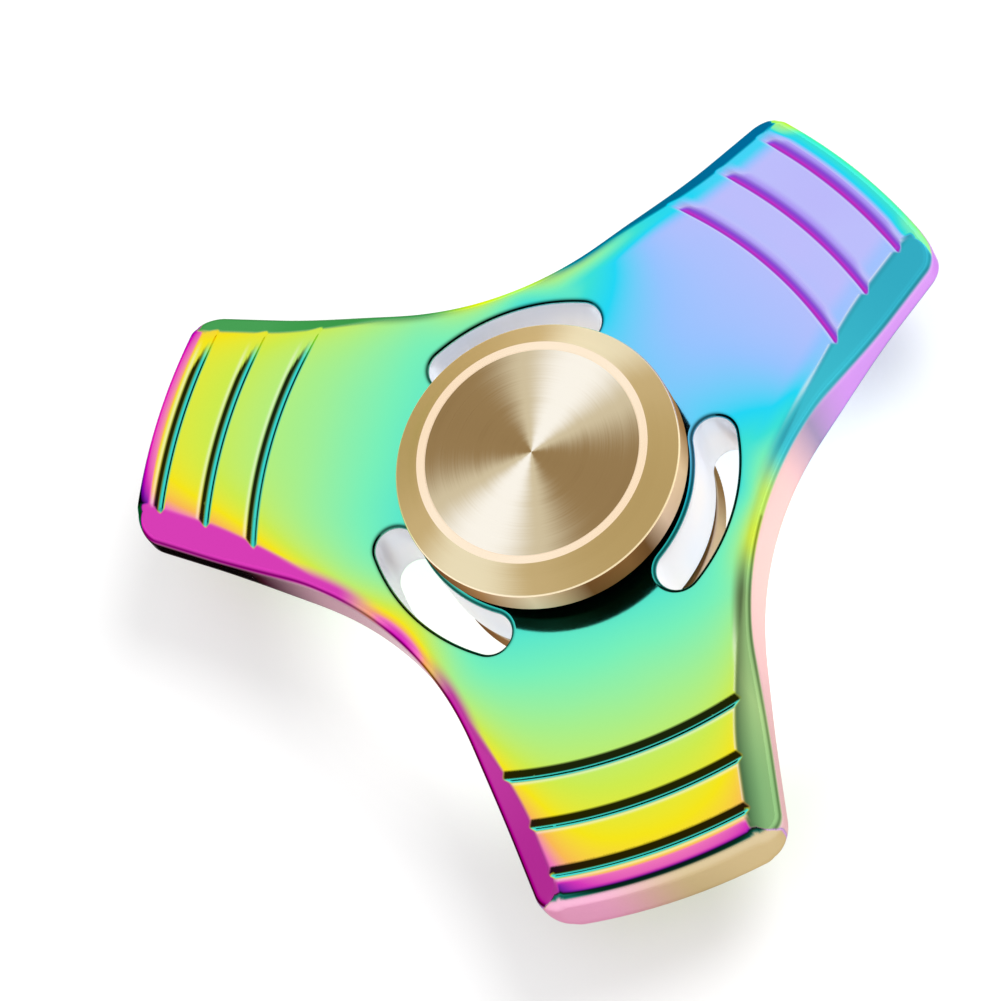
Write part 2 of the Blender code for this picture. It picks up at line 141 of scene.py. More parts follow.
def half_outline():
    """Points and inward normals along half an arm's outline, from the waist to the middle of the tip."""
    centre, radius = throat_arc()
    points, normals = [], []
    start, end = WAIST + math.pi, math.pi + TAPER
    for angle in np.linspace(start, end, 38, endpoint=False):
        points.append(polar(centre, radius, angle))
        normals.append(polar((0, 0), 1, angle))
    side_normal = polar((0, 0), 1, TAPER)
    corner, tip_angle = corner_place()
    first = polar(centre, radius, end)
    last = corner + side_normal * CORNER
    shares = np.linspace(0, 1, 2000)
    path = first + (last - first) * shares[:, None]
    rings = np.hypot(path[:, 0], path[:, 1] + ARC_OFFSET) - ARC_OFFSET
    stops = [rings[0]]
    while stops[-1] < rings[-1] - 0.25:
        fine = any(-0.75 < stops[-1] - groove < 1.75 for groove in GROOVES)
        stops.append(stops[-1] + (0.06 if fine else 0.2))
    for share in np.interp(stops, rings, shares):
        points.append(first + (last - first) * share)
        normals.append(-side_normal)
    for angle in np.linspace(TAPER, tip_angle, 20, endpoint=False):
        points.append(polar(corner, CORNER, angle))
        normals.append(-polar((0, 0), 1, angle))
    for angle in np.linspace(tip_angle, math.pi / 2, 37):
        points.append(polar((0, -ARC_OFFSET), TIP + ARC_OFFSET, angle))
        normals.append(-polar((0, 0), 1, angle))
    points[-1][0] = normals[-1][0] = 0.0
    return np.array(points), np.array(normals)


def half_slot():
    """Points and normals into the metal round half a slot, from its inner to its outer middle."""
    middle, end_radius = (SLOT_IN + SLOT_OUT) / 2, (SLOT_OUT - SLOT_IN) / 2
    turn = WAIST + SLOT_HALF
    end = polar((0, 0), middle, turn)
    points, normals = [], []
    for angle in np.linspace(WAIST, turn, 22, endpoint=False):
        points.append(polar((0, 0), SLOT_IN, angle))
        normals.append(-polar((0, 0), 1, angle))
    for angle in np.linspace(turn + math.pi, turn, 24, endpoint=False):
        points.append(polar(end, end_radius, angle))
        normals.append(polar((0, 0), 1, angle))
    for angle in np.linspace(turn, WAIST, 27):
        points.append(polar((0, 0), SLOT_OUT, angle))
        normals.append(polar((0, 0), 1, angle))
    return np.array(points), np.array(normals)


def slot_distance(p):
    """Distance from a slot's wall into the metal, on the first arm's right half."""
    middle, end_radius = (SLOT_IN + SLOT_OUT) / 2, (SLOT_OUT - SLOT_IN) / 2
    turn = np.arctan2(p[:, 1], p[:, 0]) - WAIST
    end = polar((0, 0), middle, WAIST + SLOT_HALF)
    beyond = np.hypot(p[:, 0] - end[0], p[:, 1] - end[1]) - end_radius
    beside = np.abs(np.hypot(p[:, 0], p[:, 1]) - middle) - end_radius
    return np.where(turn < SLOT_HALF, beside, beyond)


def side_distance(p):
    """Distance inside the long side's line, or inside the throat's arc where that takes over."""
    centre, radius = throat_arc()
    to_line = SIDE - p[:, 0] * math.cos(TAPER) - p[:, 1] * math.sin(TAPER)
    offset = p - centre
    angle = np.mod(np.arctan2(offset[:, 1], offset[:, 0]), 2 * math.pi)
    to_arc = np.hypot(offset[:, 0], offset[:, 1]) - radius
    return np.where(angle > math.pi + TAPER, to_arc, to_line)


def wall_distance(p):
    """Distance inside the outline, and how far the nearest wall faces the way the long side does."""
    corner, tip_angle = corner_place()
    to_side = side_distance(p)
    to_tip = TIP + ARC_OFFSET - np.hypot(p[:, 0], p[:, 1] + ARC_OFFSET)
    offset = p - corner
    angle = np.arctan2(offset[:, 1], offset[:, 0])
    in_corner = (angle > TAPER) & (angle < tip_angle)
    tip_turn = np.cos(np.arctan2(p[:, 1] + ARC_OFFSET, p[:, 0]) - TAPER)
    distance = np.where(in_corner, CORNER - np.hypot(offset[:, 0], offset[:, 1]), np.minimum(to_side, to_tip))
    facing = np.where(in_corner, np.cos(angle - TAPER), np.where(to_side < to_tip, 1.0, tip_turn))
    return np.maximum(distance, 0), np.clip(facing, 0, 1)


def roll(d, radius):
    """Drop of a rounded edge at this distance from the wall."""
    inside = np.clip(radius - d, 0, radius)
    return radius - np.sqrt(np.maximum(radius**2 - inside**2, 0))


def groove_drop(p):
    ring = np.hypot(p[:, 0], p[:, 1] + ARC_OFFSET) - ARC_OFFSET
    across = np.clip(np.abs(ring[:, None] - GROOVES) / GROOVE_HALF, 0, 1)
    return (GROOVE_DEPTH / 2 * (1 + np.cos(math.pi * across))).sum(axis=1)


def facet_width(along):
    return FACET_NARROW + (FACET_WIDE - FACET_NARROW) * smoothstep(along, FACET_FROM, FACET_TO)


def surface_parts(p, groove_share=1.0):
    """Heights over the first arm of the grooved top and of the slanted facet that cuts it, above the mid-plane."""
    p = np.stack([np.abs(p[:, 0]), p[:, 1]], axis=1)
    d, facing = wall_distance(p)
    rise = math.tan(FACET_SLOPE)
    plane = TOP - (facet_width(p[:, 1]) - side_distance(p)) * rise
    slope = np.arctan(rise * facing)
    reach = WALL_ROLL * (1 - np.sin(slope))
    arc = np.sqrt(np.maximum(WALL_ROLL**2 - np.clip(WALL_ROLL - d, 0, None) ** 2, 0))
    rolled = plane + np.tan(slope) * (reach - d) - WALL_ROLL * np.cos(slope) + arc
    facet = np.where(d < reach, rolled, plane)
    top = TOP - groove_share * groove_drop(p) - roll(d, TIP_ROLL)
    return top, facet, roll(np.maximum(slot_distance(p), 0), SLOT_ROLL)


def height(p, groove_share=1.0):
    """Height of the upper surface over the first arm, above the mid-plane."""
    top, facet, slot_drop = surface_parts(p, groove_share)
    overlap = np.maximum(BLEND - np.abs(top - facet), 0) / BLEND
    return np.minimum(top, facet) - overlap**2 * BLEND / 4 - slot_drop


def slope_normals(p):
    """Normals of the upper surface over the first arm, level where it meets an upright wall. The grooves are shaded
    as if shallower, because polishing has rounded their edges."""
    step = 0.003
    rise_x = height(p + (step, 0), GROOVE_SHADING) - height(p - (step, 0), GROOVE_SHADING)
    rise_y = height(p + (0, step), GROOVE_SHADING) - height(p - (0, step), GROOVE_SHADING)
    normals = np.stack([-rise_x, -rise_y, np.full(len(p), 2 * step)], axis=1)
    return normals / np.linalg.norm(normals, axis=1)[:, None]


def grid_points():
    """Points on rings about the tip's centre, close together across the grooves, and on circles round the hub."""
    points = []
    plain = [r for r in np.arange(7.0, TIP - EDGE_ROWS, 0.3) if all(abs(r - g) > 0.95 for g in GROOVES)]
    crossing = [g + offset for g in GROOVES for offset in np.arange(-0.84, 0.85, 0.07)]
    for ring in plain + crossing:
        for k in range(180):
            point = polar((0, -ARC_OFFSET), ring + ARC_OFFSET, math.pi / 2 - k * 0.1 / (ring + ARC_OFFSET))
            if k == 0:
                point[0] = 0.0
            points.append((*point, k % 3 == 0, ring in crossing))
    points = np.array(points)
    p, coarse, across = points[:, :2], points[:, 2] > 0, points[:, 3] > 0
    inset = wall_distance(p)[0]
    turn = np.arctan2(p[:, 1], p[:, 0])
    kept = (p[:, 0] >= 0) & (turn > WAIST + 0.02) & (inset > EDGE_ROWS + 0.03)
    kept &= (slot_distance(p) > 0.75) & (np.hypot(p[:, 0], p[:, 1]) > BORE + 0.3)
    kept &= coarse | (across & (inset < EDGE_ROWS + 0.7))
    circles = [
        polar((0, 0), radius, WAIST + math.radians(60) * k / 16)
        for radius in np.arange(BORE + 0.4, SLOT_IN - 0.7, 0.5) for k in range(17)
    ]
    return p[kept], np.array(circles)


def wedge():
    """One sixth of the upper surface: plan points, triangles, and the rows along its outline and slot."""
    outline, inward = half_outline()
    slot, into_metal = half_slot()
    bore = np.array([polar((0, 0), BORE, math.radians(90 - 60 * k / 24)) for k in range(25)])
    bore[0, 0] = 0.0
    groups = [outline, slot, bore]
    for d in ROW_STEPS[1:]:
        row = outline + inward * d
        clear = np.abs(wall_distance(row)[0] - d) < 0.01
        groups.append(row[clear & (slot_distance(row) > 0.72) & (row[:, 0] > -1e-9)])
    groups += [slot + into_metal * d for d in SLOT_STEPS[1:]]
    groups += grid_points()
    p = np.concatenate(groups)
    starts = np.cumsum([0, len(outline), len(slot), len(bore)])
    outline_row, slot_row, bore_row = (list(range(a, b)) for a, b in zip(starts, starts[1:]))

    def on_line(direction, low, high):
        run = p @ direction
        off = np.abs(p[:, 0] * direction[1] - p[:, 1] * direction[0])
        found = np.where((off < 1e-6) & (run > low + 1e-6) & (run < high - 1e-6))[0]
        return list(found[np.argsort(run[found])])

    waist = polar((0, 0), 1, WAIST)
    loop = bore_row + on_line(waist, BORE, SLOT_IN) + slot_row + on_line(waist, SLOT_OUT, THROAT) + outline_row
    loop += on_line(np.array([0.0, 1.0]), BORE, TIP)[::-1]
    border = [[int(i) for i in loop]]
    made = delaunay_2d_cdt([Vector(point) for point in p.tolist()], [], border, 1, 1e-7)
    verts, faces, origin = made[0], made[2], made[3]
    assert all(origin), "the wedge's outline crosses itself"
    place = {source: i for i, sources in enumerate(origin) for source in sources}
    rows = [[place[i] for i in row] for row in (outline_row, slot_row)]
    return np.array([tuple(v) for v in verts]), [tuple(f) for f in faces], rows


def body_mesh():
    """The wedge with its upright walls, turned and mirrored into the whole body."""
    plan, faces, rows = wedge()
    verts = np.column_stack([plan, height(plan)]).tolist()
    for row in rows:
        above = row
        for level in range(1, WALL_LEVELS + 1):
            below = list(range(len(verts), len(verts) + len(row)))
            verts += [[verts[k][0], verts[k][1], verts[k][2] * (1 - level / WALL_LEVELS)] for k in row]
            faces += [
                (above[i], above[i + 1], below[i + 1], below[i]) for i in range(len(row) - 1)
            ]
            above = below
    base = np.array(verts)
    points, all_faces = [], []
    for arm in range(3):
        turn = np.array(Matrix.Rotation(arm * 2 * math.pi / 3, 3, "Z"))
        for mirror in ((1, 1, 1), (-1, 1, 1), (1, 1, -1), (-1, 1, -1)):
            offset = len(points) * len(base)
            points.append((base * mirror) @ turn.T)
            all_faces += [tuple(i + offset for i in face) for face in faces]
    points.append(bore_points())
    all_faces += bore_faces(len(points[0]) * (len(points) - 1))
    mesh = bpy.data.meshes.new("spinner_body_surface")
    mesh.from_pydata(np.concatenate(points).tolist(), [], all_faces)
    shape = bmesh.new()
    shape.from_mesh(mesh)
    bmesh.ops.remove_doubles(shape, verts=shape.verts, dist=0.0008)
    bmesh.ops.recalc_face_normals(shape, faces=shape.faces)
    shape.to_mesh(mesh)
    shape.free()
    return mesh


BORE_RINGS = ((BORE, TOP), (BORE, BORE_SEAT), (BORE_LIP, BORE_SEAT), (BORE_LIP, -TOP), (BORE, -TOP))
BORE_STEPS = 144


def bore_points():
    """The bearing seat: the bore from the top face down to its shoulder, and the lip below it."""
    return np.array([
        (*polar((0, 0), radius, math.pi / 2 + k * 2 * math.pi / BORE_STEPS), z)
        for radius, z in BORE_RINGS for k in range(BORE_STEPS)
    ])


def bore_faces(offset):
    faces = []
    for level in range(len(BORE_RINGS) - 1):
        for k in range(BORE_STEPS):
            a = offset + level * BORE_STEPS + k
            b = offset + level * BORE_STEPS + (k + 1) % BORE_STEPS
            faces.append((a, b, b + BORE_STEPS, a + BORE_STEPS))
    return faces


def arm_frame(p):
    """Each point's own arm: its number, its direction, the direction to its right, and the place along and across."""
    towards = p[:, :2] @ ARMS.T
    own = np.argmax(towards, axis=1)
    arm = ARMS[own]
    right = np.stack([arm[:, 1], -arm[:, 0]], axis=1)
    return own, arm, right, towards.max(axis=1), np.einsum("ij,ij->i", p[:, :2], right)


def read_vectors(collection, field):
    flat = np.empty(len(collection) * 3)
    collection.foreach_get(field, flat)
    return flat.reshape(-1, 3)


def exact_normals(mesh):
    """Vertex normals from the surface's own slope on both faces, and from the mesh on the upright walls."""
    p = read_vectors(mesh.vertices, "co")
    normals = read_vectors(mesh.vertex_normals, "vector")
    _, arm, right, along, across = arm_frame(p)
    local = np.stack([np.abs(across), along], axis=1)
    on_face = (np.abs(np.abs(p[:, 2]) - height(local)) < 0.002) & (np.hypot(p[:, 0], p[:, 1]) > BORE + 0.01)
    slope = slope_normals(local)
    level = right * (slope[:, 0] * np.sign(across))[:, None] + arm * slope[:, 1:2]
    upward = slope[:, 2] * np.sign(p[:, 2])
    exact = np.column_stack([level, upward])
    return np.where(on_face[:, None], exact, normals)


# ------------------------------------------------------------------ coating


def groove_offset(along, across):
    """Distance in millimetres from the middle of the nearest groove, positive towards the tip."""
    ring = np.hypot(across, along + ARC_OFFSET) - ARC_OFFSET
    offsets = ring[:, None] - GROOVES
    nearest = np.abs(offsets).argmin(axis=1)
    return np.take_along_axis(offsets, nearest[:, None], axis=1)[:, 0]


def paint_coating(mesh, n):
    """Vertex attributes that place the coating's colours: one film colour for the flat faces, another for the long
    facets, a third for the upright walls, a painted shade for the black lines in the grooves, between faces and round
    the slots and for the darkened facets, a painted highlight for pale lines, and a mask for the slot walls."""
    p = read_vectors(mesh.vertices, "co")
    own, arm, right_hand, along, across = arm_frame(p)
    left, lower, right = (own == 0), (own == 1), (own == 2)
    towards = p[:, :2] @ ARMS.T
    radial = np.hypot(p[:, 0], p[:, 1])
    local = np.stack([np.abs(across), along], axis=1)
    inset = np.maximum(side_distance(local) - facet_width(along), 0)
    share = np.abs(across) / 6

    reach = np.maximum(towards, 9) - 12
    plain = np.stack([
        0.387 + 0.0110 * reach[:, 0],
        0.372 + 0.0150 * reach[:, 1],
        np.maximum(0.20 - 0.0075 * reach[:, 2], 0.12),
    ], axis=1)
    pull = np.exp((towards - along[:, None]) / 2.0)
    film = (plain * pull).sum(axis=1) / pull.sum(axis=1)
    lower_left = hump(towards[:, 0] - towards[:, 1], 0, 6) * smoothstep(-towards[:, 2], 9, 15)
    film += 0.12 * lower_left
    strength = np.where(left, np.where(across < 0, 0.17, 0.06), 0.0)
    strength = np.where(lower, np.where(across > 0, 0.13, 0.06), strength)
    strength = np.where(right, np.where(across < 0, 0.14, 0.05), strength)
    waist = 1 - smoothstep(along, 8.5, 13)
    edge = np.where(right, 1 - smoothstep(inset, 0.5, 1.9), np.exp(-inset / 1.7))
    film += strength * (1 - waist) * edge + 0.20 * waist * np.exp(-inset / 1.7)
    beside_hub = np.minimum(share, 1.4) ** 2 * (1 - smoothstep(along, 12, 19)) * smoothstep(along, 7.6, 11)
    film += right * np.where(across < 0, 0.065, 0.045) * beside_hub

    tilt = np.degrees(np.arccos(np.clip(np.abs(n[:, 2]), 0, 1)))
    lateral = np.hypot(n[:, 0], n[:, 1])
    tipward = np.einsum("ij,ij->i", n[:, :2], arm)
    sideward = np.abs(np.einsum("ij,ij->i", n[:, :2], right_hand))
    to_camera = n[:, :2] @ polar((0, 0), 1, CAMERA_AZIMUTH)

    offset = groove_offset(along, across)
    near_groove = (np.abs(offset) < GROOVE_HALF * 1.1) & (np.abs(p[:, 2]) > TOP - 1.3)
    top, plane, _ = surface_parts(local)
    on_top = smoothstep(plane - top, -0.04, 0.16) * (along > 19) * (np.abs(p[:, 2]) > TOP - 1.3)
    groove = near_groove * on_top
    rim = smoothstep(slot_distance(local), 0.5, 0.35) * (np.abs(p[:, 2]) > TOP - 0.7)
    tip = (along > 27) * smoothstep(tipward - 0.6 * sideward, 0.0, 0.15) * (1 - near_groove)
    flank = (1 - groove) * (1 - rim) * (1 - tip) * (radial > 13.2)

    steep = smoothstep(lateral, 0.04, 0.34)
    narrowing = np.where(left & (across > 0), 0.3 + 0.7 * smoothstep(inset, 0.7, 3.6), 1.0)
    fade = np.where(left & (across > 0), smoothstep(inset, 0.5, 2.4), 1.0)
    fade = np.where(right & (across < 0), smoothstep(inset, -0.2, 1.2), fade)
    teal = on_top * np.where(
        left, np.interp(offset, (-0.45, -0.3, 0.1, 0.2), (0, 1, 1, 0)),
        lower * np.interp(offset, (-0.05, 0.05, 0.42, 0.5), (0, 1, 1, 0)),
    )
    film += teal * fade * (0.33 - film)
    violet = on_top * fade * right
    film += violet * np.interp(offset, (-0.26, -0.12, 0.15, 0.5, 0.95), (0, 1, 1, 0.5, 0)) * (
        np.interp(offset, (-0.15, 0.02, 0.12, 0.4), (0.0, 0.015, 0.045, 0.06)) - film
    )
    # Film along the rolled tips; on the lower arm it runs into the ramp's near-black stops, a painted dark line.
    tips = (
        np.interp(tilt, (0, 12, 35, 60, 90), (0, 0.11, 0.15, 0.21, 0.26)),
        np.interp(tilt, (0, 12, 30, 36, 41, 50, 56), (0, 0.085, 0.10, 0.14, 0.26, 0.28, 0.32)),
        np.interp(tilt, (0, 15, 30, 50, 70, 90), (0, 0.15, 0.20, 0.24, 0.29, 0.40)),
    )
    film += tip * np.choose(own, tips)
    film += flank * waist * (0.05 + 0.07 * lower_left) * smoothstep(tilt, 8, 55)

    facet_mix = flank * smoothstep(tilt, 6, 40) * (1 - waist)
    dusk = smoothstep(along, 14, 27)
    facet = np.where(left, np.where(across < 0, 0.0, 0.60), 0.0)
    v = np.clip(side_distance(local) / facet_width(along), 0, 1)
    facet = np.where(lower, np.where(across > 0, 0.10 + 0.08 * dusk, 0.44 + 0.10 * dusk + 0.04 * v), facet)
    facet = np.where(right, np.where(across < 0, 0.75 + 0.05 * dusk, 0.90 - 0.02 * dusk), facet)

    lower_tip = (tip > 0.5) & lower
    upright = np.where(lower_tip, smoothstep(tilt, 50, 56), smoothstep(tilt, 68, 80)) * (radial > 14.0)
    clockwise = smoothstep(across, -4, 4)
    wall = np.where(left, 0.30 + 0.60 * clockwise, 0.0)
    wall = np.where(lower, 0.72 + (0.32 * dusk - 0.42) * clockwise, wall)
    wall = np.where(right, 0.90 - 0.40 * clockwise, wall)
    right_waist = (1 - smoothstep(along, 10, 19)) * ((right & (across > 0)) | (lower & (across < 0)))
    wall = wall + (0.75 - wall) * right_waist
    wall += tip * lower * (0.25 - 0.25 * smoothstep(across, -2, 5) - wall)
    # Slot walls: silver in colour, with a painted glow in the material.
    silver_and_glow = smoothstep(tilt, 62, 80) * (radial < 13.9)

    # Painted shade: black bands and dark lines in the left and lower arms' grooves, and a lighter darkening in the
    # right arm's grooves.
    tapered = np.where(offset > 0.08, 0.08 + (offset - 0.08) / narrowing, offset)
    groove_painted_shade = np.where(
        left, np.interp(tapered, (-0.45, -0.22, -0.1, 0.0, 0.1, 0.18, 0.38, 0.46), (0, 0.8, 0.4, 0, 0.5, 1, 1, 0)),
        lower * np.interp(offset, (-0.48, -0.38, 0.02, 0.1, 0.36, 0.45, 0.52), (0, 1, 1, 0, 0, 0.5, 0)),
    )
    groove_painted_shade += right * np.interp(offset, (-0.2, -0.1, 0.0, 0.1, 0.35, 0.5), (0, 0.3, 0, 0.2, 0.2, 0))
    shade = 1 - 0.98 * on_top * fade * groove_painted_shade
    # Painted shading across two facets: on the lower arm darker towards the inner edge and lifted at the outer, on
    # the right arm darker at both edges.
    facet_painted_shading = np.where(
        lower & (across < 0), np.interp(v, (0, 0.5, 0.8, 1.0), (1.2, 0.95, 0.6, 0.3)),
        np.where(right & (across > 0), np.interp(v, (0, 0.12, 0.85, 1.0), (0.6, 1, 1, 0.72)), 1.0),
    )
    shade *= 1 - facet_mix * (1 - upright) * (1 - facet_painted_shading)
    # Painted shade: a dark line where the facets turn into the walls, dark rims round the slots, a black line round
    # the lower arm's tip, and one wall of the left arm darkened towards its tip.
    shade -= flank * np.where(right, 0.35, 0.7) * hump(tilt, 66, 6)
    shade -= rim * 0.92 * hump(tilt, 42, 24)
    shade -= lower_tip * 0.75 * hump(tilt, 45, 8)
    shade *= 1 - 0.88 * left * smoothstep(-across, 0, 6) * upright * smoothstep(along, 14, 22)
    # Painted highlight: pale lines beside the grooves, and along the inner edges of two facets.
    painted_highlight = on_top * fade * np.where(right, 0.2 * hump(offset, -0.26, 0.07), 0.4 * hump(offset, 0.55, 0.11))
    glint = (lower & (across < 0)) | (right & (across > 0))
    painted_highlight += 0.45 * glint * flank * (1 - waist) * hump(tilt, 14, 8) * smoothstep(inset, 0.5, 0.2)
    values = {
        "film": film, "facet": facet, "facet_mix": facet_mix, "wall": wall, "upright": upright,
        "silver_and_glow": silver_and_glow, "shade": np.clip(shade, 0.01, 1), "painted_highlight": painted_highlight,
    }
    for name, given in values.items():
        layer = mesh.attributes.new(name, "FLOAT", "POINT")
        layer.data.foreach_set("value", given.astype(np.float32))


# ------------------------------------------------------------------ materials


def node(tree, kind, **settings):
    made = tree.nodes.new(kind)
    for key, value in settings.items():
        if key == "inputs":
            for name, given in value.items():
                socket = made.inputs[name]
                if isinstance(given, bpy.types.NodeSocket):
                    tree.links.new(given, socket)
                else:
                    socket.default_value = given
        else:
            setattr(made, key, value)
    return made


def srgb(r, g, b):
    def linear(v):
        v /= 255
        return v / 12.92 if v <= 0.04045 else ((v + 0.055) / 1.055) ** 2.4
    return (linear(r), linear(g), linear(b), 1.0)


def calc(tree, operation, *values):
    made = tree.nodes.new("ShaderNodeMath")
    made.operation = operation
    for socket, value in zip(made.inputs, values):
        if isinstance(value, bpy.types.NodeSocket):
            tree.links.new(value, socket)
        else:
            socket.default_value = value
    return made.outputs[0]


def ramp(tree, factor, stops, interpolation="LINEAR"):
    made = tree.nodes.new("ShaderNodeValToRGB")
    tree.links.new(factor, made.inputs[0])
    elements = made.color_ramp.elements
    made.color_ramp.interpolation = interpolation
    for i, (position, colour) in enumerate(stops):
        element = elements[i] if i < 2 else elements.new(position)
        element.position = position
        element.color = colour
    return made.outputs[0]


def start_material(name):
    material = bpy.data.materials.new(name)
    material.use_nodes = True
    tree = material.node_tree
    return material, tree, tree.nodes["Principled BSDF"]


def link(tree, source, target):
    tree.links.new(source, target)


def mix(tree, factor, first, second):
    made = tree.nodes.new("ShaderNodeMix")
    made.data_type = "RGBA"
    for socket, value in zip((made.inputs[0], made.inputs[6], made.inputs[7]), (factor, first, second)):
        if isinstance(value, bpy.types.NodeSocket):
            tree.links.new(value, socket)
        else:
            socket.default_value = value
    return made.outputs[2]


# Thin-film colours. The near-black stop at 0.88 and the dark green at 0.94 are painted shade; the film reaches them
# where the arms' tips roll over, most on the lower arm.
FILM = (
    (0.00, srgb(205, 40, 195)),
    (0.06, srgb(150, 80, 235)),
    (0.12, srgb(190, 190, 252)),
    (0.19, srgb(150, 195, 255)),
    (0.27, srgb(35, 215, 245)),
    (0.33, srgb(60, 225, 215)),
    (0.40, srgb(120, 240, 185)),
    (0.47, srgb(168, 239, 140)),
    (0.54, srgb(207, 236, 78)),
    (0.60, srgb(246, 230, 25)),
    (0.66, srgb(250, 185, 85)),
    (0.71, srgb(242, 120, 185)),
    (0.77, srgb(215, 55, 185)),
    (0.83, srgb(130, 30, 165)),
    (0.88, srgb(20, 12, 40)),
    (0.94, srgb(15, 85, 60)),
    (1.00, srgb(40, 170, 150)),
)


# Colours of the long facets. The stops from 0.40 to 0.84 colour the facets turned away from the camera and are
# painted darker, as shade.
FACETS = (
    (0.00, srgb(216, 62, 182)),
    (0.10, srgb(190, 62, 158)),
    (0.20, srgb(166, 50, 138)),
    (0.40, srgb(98, 147, 93)),
    (0.50, srgb(165, 200, 132)),
    (0.60, srgb(104, 168, 112)),
    (0.75, srgb(14, 136, 160)),
    (0.84, srgb(16, 134, 176)),
    (0.90, srgb(64, 196, 214)),
    (1.00, srgb(60, 200, 215)),
)

WALLS = (
    (0.00, srgb(240, 180, 208)),
    (0.25, srgb(212, 192, 152)),
    (0.30, srgb(214, 180, 192)),
    (0.50, srgb(220, 165, 238)),
    (0.62, srgb(176, 160, 190)),
    (0.75, srgb(246, 206, 202)),
    (0.90, srgb(150, 190, 196)),
)


def coating_material():
    """Mirror-bright metal under a thin film that shifts in colour with the slope and along each arm, with painted
    shade, a painted highlight and a faint painted glow on the slot walls, all from the mesh's attributes.
    """
    material, tree, shader = start_material("rainbow_coating_fine")

    def layer(name):
        return node(tree, "ShaderNodeAttribute", attribute_name=name).outputs["Fac"]

    place = node(tree, "ShaderNodeTexCoord").outputs["Object"]
    drift = node(tree, "ShaderNodeTexNoise", inputs={"Vector": place, "Scale": 90.0, "Detail": 2.0})
    shift = calc(tree, "MULTIPLY_ADD", drift.outputs["Fac"], 0.03, -0.015)
    colour = ramp(tree, calc(tree, "ADD", layer("film"), shift), FILM)
    colour = mix(tree, layer("facet_mix"), colour, ramp(tree, layer("facet"), FACETS))
    # Painted highlight: mixes the colour towards near-white.
    colour = mix(tree, layer("painted_highlight"), colour, srgb(255, 255, 240))
    colour = mix(tree, layer("upright"), colour, ramp(tree, layer("wall"), WALLS))
    low = node(tree, "ShaderNodeTexNoise", inputs={"Vector": place, "Scale": 160.0, "Detail": 1.0})
    inner_tint_and_glow = mix(tree, low.outputs["Fac"], srgb(214, 226, 246), srgb(252, 240, 228))
    colour = mix(tree, layer("silver_and_glow"), colour, inner_tint_and_glow)
    # Painted shade darkens the colour here and the specular tint below.
    shaded = node(tree, "ShaderNodeVectorMath", operation="SCALE", inputs={0: colour, "Scale": layer("shade")})
    link(tree, shaded.outputs[0], shader.inputs["Base Color"])
    sheen = mix(tree, 0.85, (1, 1, 1, 1), colour)
    sheen = node(tree, "ShaderNodeVectorMath", operation="SCALE", inputs={0: sheen, "Scale": layer("shade")})
    link(tree, sheen.outputs[0], shader.inputs["Specular Tint"])
    # Painted light: the slot walls glow faintly in their tint.
    link(tree, inner_tint_and_glow, shader.inputs["Emission Color"])
    link(tree, calc(tree, "MULTIPLY", layer("silver_and_glow"), 0.1), shader.inputs["Emission Strength"])
    link(tree, calc(tree, "MULTIPLY_ADD", layer("silver_and_glow"), -0.75, 1.0), shader.inputs["Metallic"])
    cloud = node(tree, "ShaderNodeTexNoise", inputs={"Vector": place, "Scale": 420.0, "Detail": 4.0})
    rough = calc(tree, "MULTIPLY_ADD", cloud.outputs["Fac"], 0.05, 0.065)
    rough = calc(tree, "MULTIPLY_ADD", layer("silver_and_glow"), 0.2, rough)
    rough = calc(tree, "MULTIPLY_ADD", layer("upright"), 0.12, rough)
    link(tree, rough, shader.inputs["Roughness"])
    ripple = node(tree, "ShaderNodeTexNoise", inputs={"Vector": place, "Scale": 260.0, "Detail": 2.0})
    bump = node(tree, "ShaderNodeBump", inputs={
        "Strength": 0.03, "Distance": 0.0002, "Height": ripple.outputs["Fac"],
    })
    link(tree, bump.outputs["Normal"], shader.inputs["Normal"])
    return material


def radial_coordinates(tree):
    """Distance from the spin axis in metres, as a socket."""
    place = node(tree, "ShaderNodeTexCoord").outputs["Object"]
    split = node(tree, "ShaderNodeSeparateXYZ", inputs={0: place})
    x, y = split.outputs[0], split.outputs[1]
    radius = calc(tree, "SQRT", calc(tree, "ADD", calc(tree, "MULTIPLY", x, x), calc(tree, "MULTIPLY", y, y)))
    return radius, split.outputs[2], place


def painted_streak(tree, spread):
    """Painted bow-tie highlight of metal with rings round +Z: 1 where the ring's tangent is square to the half-way
    vector between the viewer and a fixed direction high on the right, where no lamp stands."""
    place = node(tree, "ShaderNodeTexCoord").outputs["Object"]
    radial = node(tree, "ShaderNodeVectorMath", operation="MULTIPLY", inputs={0: place, 1: (1, 1, 0)})
    ring = node(tree, "ShaderNodeVectorMath", operation="CROSS_PRODUCT", inputs={0: (0, 0, 1), 1: radial.outputs[0]})
    tangent = node(tree, "ShaderNodeVectorMath", operation="NORMALIZE", inputs={0: ring.outputs[0]})
    viewer = node(tree, "ShaderNodeNewGeometry").outputs["Incoming"]
    middle = node(tree, "ShaderNodeVectorMath", operation="ADD", inputs={0: viewer, 1: PAINTED_HIGHLIGHT_DIRECTION})
    middle = node(tree, "ShaderNodeVectorMath", operation="NORMALIZE", inputs={0: middle.outputs[0]})
    turn = node(tree, "ShaderNodeVectorMath", operation="DOT_PRODUCT", inputs={
        0: tangent.outputs[0], 1: middle.outputs[0],
    }).outputs["Value"]
    scaled = calc(tree, "DIVIDE", turn, spread)
    return calc(tree, "EXPONENT", calc(tree, "MULTIPLY", calc(tree, "MULTIPLY", scaled, scaled), -1.0))


